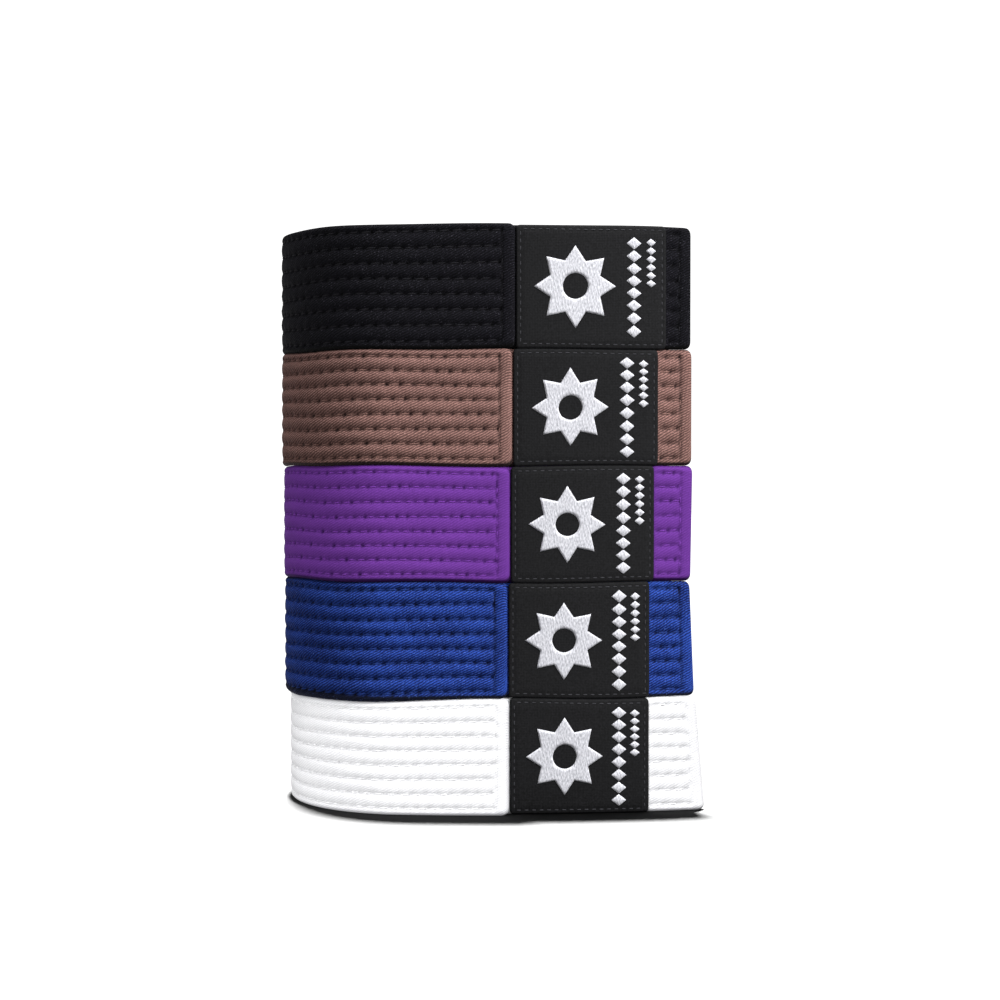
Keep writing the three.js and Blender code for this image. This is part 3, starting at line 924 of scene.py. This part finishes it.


# Each belt's cloth, and how it lies. The dip is the cloth's towards a row of stitches, and the
# droop, sag and lean are those of the strip's edges and tip, in millimetres, as is its stitch. Its
# darkest colour is painted shade, mixed in by the shade, holeShade and slitShade weights in the
# grooves, at the needle holes and along the slits between belts, and the droop and sag also spread
# the slits' painted shade further in at the left.
belts = {
    "white": {"light": "#d5d5d6", "dark": "#bfbfc2", "shadeColour": "#97989e", "thread": "#d5d5d6",
              "threadDark": "#bbbbbe", "lint": "#ffffff", "lintAbove": 0.9, "sheen": 0.1,
              "specular": 0.2, "shade": 0.02, "holeShade": 0.12, "slitShade": 0.5, "bump": 0.3,
              "ribContrast": 0.9, "fuzz": 0.6, "patchy": 0.4,
              "stitch": 4.5, "dip": 0.42, "droop": 1.3, "sag": 0.0, "lean": 3.6},
    "blue": {"light": "#2b4eae", "dark": "#0c1849", "shadeColour": "#060a1e", "thread": "#213b82",
             "threadDark": "#14254f", "lint": "#6a86d0", "lintAbove": 0.7, "sheen": 0.03,
             "specular": 0.15, "shade": 0.35, "holeShade": 0.7, "slitShade": 1.3, "bump": 0.8,
             "ribContrast": 1.0, "fuzz": 1.1, "patchy": 0.8,
             "stitch": 4.5, "dip": 0.95, "droop": 0.0, "sag": 1.3, "lean": 1.8},
    "purple": {"light": "#67328d", "dark": "#502573", "shadeColour": "#26073f", "thread": "#6a3292",
               "threadDark": "#4a2268", "lint": "#8a56ad", "lintAbove": 0.75, "sheen": 0.05,
               "specular": 0.15, "shade": 0.2, "holeShade": 0.9, "slitShade": 1.1, "bump": 0.3,
               "ribContrast": 0.5, "fuzz": 0.5, "patchy": 0.4,
               "stitch": 3.7, "dip": 0.34, "droop": 0.0, "sag": 0.0, "lean": -0.7},
    "brown": {"light": "#9b746c", "dark": "#533c38", "shadeColour": "#1c1110", "thread": "#86655d",
              "threadDark": "#5f453f", "lint": "#c4a49c", "lintAbove": 0.72, "sheen": 0.05,
              "specular": 0.2, "shade": 0.35, "holeShade": 0.8, "slitShade": 1.2, "bump": 0.7,
              "ribContrast": 1.0, "fuzz": 0.8, "patchy": 0.5,
              "stitch": 4.7, "dip": 0.8, "droop": 0.0, "sag": 0.0, "lean": 0.0},
    "black": {"light": "#15141b", "dark": "#020203", "shadeColour": "#010101", "thread": "#141318",
              "threadDark": "#0a090c", "lint": "#55535c", "lintAbove": 0.68, "sheen": 0.0,
              "specular": 0.09, "shade": 0.35, "holeShade": 0.7, "slitShade": 1.2, "bump": 0.7,
              "ribContrast": 1.0, "fuzz": 0.9, "patchy": 0.4,
              "stitch": 4.5, "dip": 0.8, "droop": 0.0, "sag": 0.0, "lean": 0.0},
}
labelTape = labelMaterial()
labelSewing = threadMaterial("label_sewing_thread", "#3b3b3f", "#222225")
embroidery = embroideryMaterial()
wadding = paddingMaterial()
print("materials made")


def cadLength(node, at, bendX, strand, face):
    # how far a node reaches along its arc from a bend line at bendX, from its right corner's x
    radius = outerRadius(strand)
    right = math.asin((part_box(node)[1].x / mm - at["x"]) / (radius + face))
    return (right - math.asin(bendX / radius)) * radius


def dress(piece, material, node=None):
    piece.data.materials.append(material)
    if node:
        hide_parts(node)
    return piece


def jointOf(name, end):
    return next(j for j in frame["joints"] if j["name"] == f"{name}_{end}_peel")


def bendPiece(piece):
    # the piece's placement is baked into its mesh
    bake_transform(piece)


def endCloth(name, end, path, at, up, outer, inner, marks, starts, tipAt, twill, thread):
    # an end's twill, padding and quilting
    part = f"{end}_end"
    along, tip = path["stations"], ((tipAt,), quilt["corner"])
    made = [
        dress(stripPiece(f"{name}_twill_{part}", path, at, along, up, outer, inner, marks, *tip),
              twill, f"{name}_sleeve_{part}"),
        dress(paddingPiece(f"{name}_padding_{part}", path, at, along[:-roll["tipSteps"] - 1]),
              wadding, f"{name}_core_{part}"),
        dress(endStitches(f"{name}_quilting_{part}", path, at, *starts, tipAt),
              thread, f"{name}_stitching_{part}"),
    ]
    return made


def makeBelt(name, belt):
    low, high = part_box(f"{name}_sleeve_roll")
    hinge = jointOf(name, "outer")["pos_m"]
    point, normal = onRoll(np.array([bendTurn(roll["outerBend"], 1)]), 1)
    corner = point[0] + normal[0] * half
    at = {key: belt[key] for key in ("stitch", "dip", "droop", "sag", "lean")}
    at |= {"x": hinge[0] / mm - corner[0], "y": hinge[1] / mm - corner[1], "z": low.z / mm}
    at["width"] = (high.z - low.z) / mm
    outerLength = cadLength(f"{name}_sleeve_outer_end", at, roll["outerBend"], 1, half)
    labelAt = roll["outerBend"] + outerLength + roll["bendGap"]
    labelLength = cadLength(f"{name}_label", at, labelAt, 0, labelTop + patch["sink"])
    endLength = cadLength(f"{name}_sleeve_label_end", at, labelAt, 0, half)
    twill = twillMaterial(f"{name}_cotton_twill", belt)
    thread = threadMaterial(f"{name}_sewing_thread", belt["thread"], belt["threadDark"])
    up = gridHeights(at["width"])
    margin = quilt["margin"]

    # the rolled part, with stitches on what can be seen of it
    path = rollPath(bendTurn(labelAt, 0))
    whole = path["arc"]
    total = whole[-1] - roll["lip"]
    face, marks = relief(at, path, whole, up, -roll["overlap"], total + roll["spare"])
    twillRoll = stripPiece(f"{name}_twill_roll", path, at, whole, up, face, -face, marks)
    dress(twillRoll, twill, f"{name}_sleeve_roll")
    paddingRoll = paddingPiece(f"{name}_padding_roll", path, at, whole)
    dress(paddingRoll, wadding, f"{name}_core_roll")
    seenFrom = total - 2 * math.pi * roll["stitchedRadius"]
    rows = quiltRows(at, seenFrom, total)
    under = quiltRows(at, 0, roll["endCentre"] - roll["outerBend"] + labelAt, margin)
    along, across = (np.concatenate(pair) for pair in zip(rows, under))
    out = np.where(along > seenFrom, threadRise(at), -threadRise(at))
    rollStitches = stitchPiece(
        f"{name}_quilting_roll", path, at, along, across, out, quiltStitch, at["stitch"])
    dress(rollStitches, thread)
    pieces = [twillRoll, paddingRoll, rollStitches]
    for piece in pieces:
        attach(piece, f"{name}_roll")

    # the outer end
    path = endPath(bendTurn(roll["outerBend"], 1), 1, outerLength, total)
    tipAt = total + outerLength
    rowsTo = tipAt - quilt["crossSeam"]
    face, marks = relief(at, path, path["stations"], up, -roll["overlap"], rowsTo, tipAt, True)
    face[0] *= roll["tuck"]
    starts = (total, 0), (total, margin)
    made = endCloth(name, "outer", path, at, up, face, -face, marks, starts, tipAt, twill, thread)
    for piece in made:
        bendPiece(piece)
    pieces += made

    # the label end: no rows under the label, where the strip is pressed down
    path = endPath(bendTurn(labelAt, 0), 0, endLength, 0)
    along = path["stations"]
    tabFrom = labelLength + patch["toTab"]
    path["leanFrom"] = tabFrom
    rowsTo = endLength - quilt["crossSeam"]
    face, marks = relief(at, path, along, up, tabFrom, rowsTo, endLength, True)
    back, _ = relief(at, path, along, up, -roll["overlap"], rowsTo, endLength, True)
    face = face - patch["sink"] * np.clip((tabFrom - along) / patch["sinkEnds"], 0, 1)[:, None]
    face = np.maximum(face, quilt["rim"])
    face[0] *= roll["tuck"]
    back[0] *= roll["tuck"]
    starts = (tabFrom, margin), (0, margin)
    made = endCloth(name, "label", path, at, up, face, -back, marks, starts, endLength, twill, thread)
    made += [
        dress(labelPiece(f"{name}_woven_label", path, at, labelLength),
              labelTape, f"{name}_label"),
        dress(labelStitches(f"{name}_label_stitches", path, at, labelLength),
              labelSewing, f"{name}_label_seam"),
        dress(starPiece(f"{name}_star", path, at, labelLength),
              embroidery, f"{name}_emblem"),
        dress(lozengePiece(f"{name}_lozenges", path, at, labelLength),
              embroidery, f"{name}_emblem_bars"),
    ]
    for piece in made:
        bendPiece(piece)
    print(name, "belt made, strip", round(total + outerLength + endLength), "mm")
    return pieces + made


beltPieces = {name: makeBelt(name, belt) for name, belt in belts.items()}


# stage: a mid-grey paper floor, and daylight-white softboxes from the front right, the front and
# above. Reflector cards at the left light two belts.
studio = {
    "floor": 8.0,
    "paper": "#4a4a4a",
    "paperDark": "#474747",
    "paperRoughness": 0.9,
    "grainScale": 40.0,
    "world": 0.09,
    "backdrop": 1.2,  # the world's strength to the camera
    "key": {"at": (0.85, -0.62, 0.9), "size": 0.45, "watts": 27.0},
    "fill": {"at": (-0.2, -1.4, 0.3), "size": 0.9, "watts": 7.0},
    "card": {"at": (-0.9, -0.9, 0.1), "size": 0.5, "watts": {"white": 23.0, "purple": 7.5}},
    "overhead": {"strength": 3.6, "tilt": (0.05, 0.1, -1), "width": 30},
    "floorLight": {"strength": 64, "tilt": (0.03, -0.08, -1), "width": 3},
}


def makeFloor():
    side = studio["floor"] / 2
    mesh = bpy.data.meshes.new("floor")
    corners = [(-side, -side, 0), (side, -side, 0), (side, side, 0), (-side, side, 0)]
    mesh.from_pydata(corners, [], [(0, 1, 2, 3)])
    floor = bpy.data.objects.new("floor", mesh)
    bpy.context.scene.collection.objects.link(floor)
    gloss = (studio["paperRoughness"], 0.0, "#ffffff", 0.0)
    material, tree, shader = newMaterial("matt_background_paper", *gloss)
    place = addNode(tree, "ShaderNodeTexCoord", out="Object")
    noise = {"Vector": place, "Scale": studio["grainScale"], "Detail": 2.0}
    grain = addNode(tree, "ShaderNodeTexNoise", noise)
    clothSurface(tree, shader, grain, studio["paperDark"], studio["paper"], grain, 0.1, 0.0001)
    mesh.materials.append(material)
    floor.visible_diffuse = False
    return floor


def makeLight(name, kind, lit, s):
    data = bpy.data.lights.new(name, kind)
    lamp = bpy.data.objects.new(name, data)
    bpy.context.scene.collection.objects.link(lamp)
    if kind == "SUN":
        data.energy, data.angle = s["strength"], math.radians(s["width"])
        aim = Vector(s["tilt"])
    else:
        data.shape, data.size, data.energy = "SQUARE", s["size"], s["watts"]
        lamp.location = s["at"]
        aim = (cadLow + cadHigh) / 2 - lamp.location
    lamp.rotation_euler = aim.to_track_quat("-Z", "Y").to_euler()
    lamp.light_linking.receiver_collection = lit


def makeWorld():
    # white to the camera, and dimmer as a light
    world = bpy.data.worlds.new("studio")
    world.use_nodes = True
    tree = world.node_tree
    background = tree.nodes["Background"]
    seen = addNode(tree, "ShaderNodeLightPath", out="Is Camera Ray")
    parts = {0: seen, 1: studio["backdrop"] - studio["world"], 2: studio["world"]}
    strength = addNode(tree, "ShaderNodeMath", parts, operation="MULTIPLY_ADD")
    tree.links.new(strength, background.inputs["Strength"])
    background.inputs["Color"].default_value = (1, 1, 1, 1)
    bpy.context.scene.world = world


def receivers(name, objects, state):
    group = bpy.data.collections.new(name)
    for obj in objects:
        group.objects.link(obj)
    for linked in group.collection_objects:
        linked.light_linking.link_state = state
    return group


# The floor has a light of its own, overhead, which whitens it and leaves a narrow shadow in front of
# the stack, and the others light everything else. The cards light two belts' cloth and quilting.
stageFloor = [makeFloor()]
onFloor = receivers("on the floor", stageFloor, "INCLUDE")
offFloor = receivers("off the floor", stageFloor, "EXCLUDE")
makeWorld()
makeLight("floor_light", "SUN", onFloor, studio["floorLight"])
makeLight("overhead", "SUN", offFloor, studio["overhead"])
makeLight("key", "AREA", offFloor, studio["key"])
makeLight("fill", "AREA", offFloor, studio["fill"])
for name, watts in studio["card"]["watts"].items():
    cloth = [piece for piece in beltPieces[name] if "twill" in piece.name or "quilting" in piece.name]
    lit = receivers(f"on the {name} belt", cloth, "INCLUDE")
    makeLight(f"{name}_card", "AREA", lit, studio["card"] | {"watts": watts})
bpy.context.scene.view_settings.view_transform = "Standard"
print("stage made")
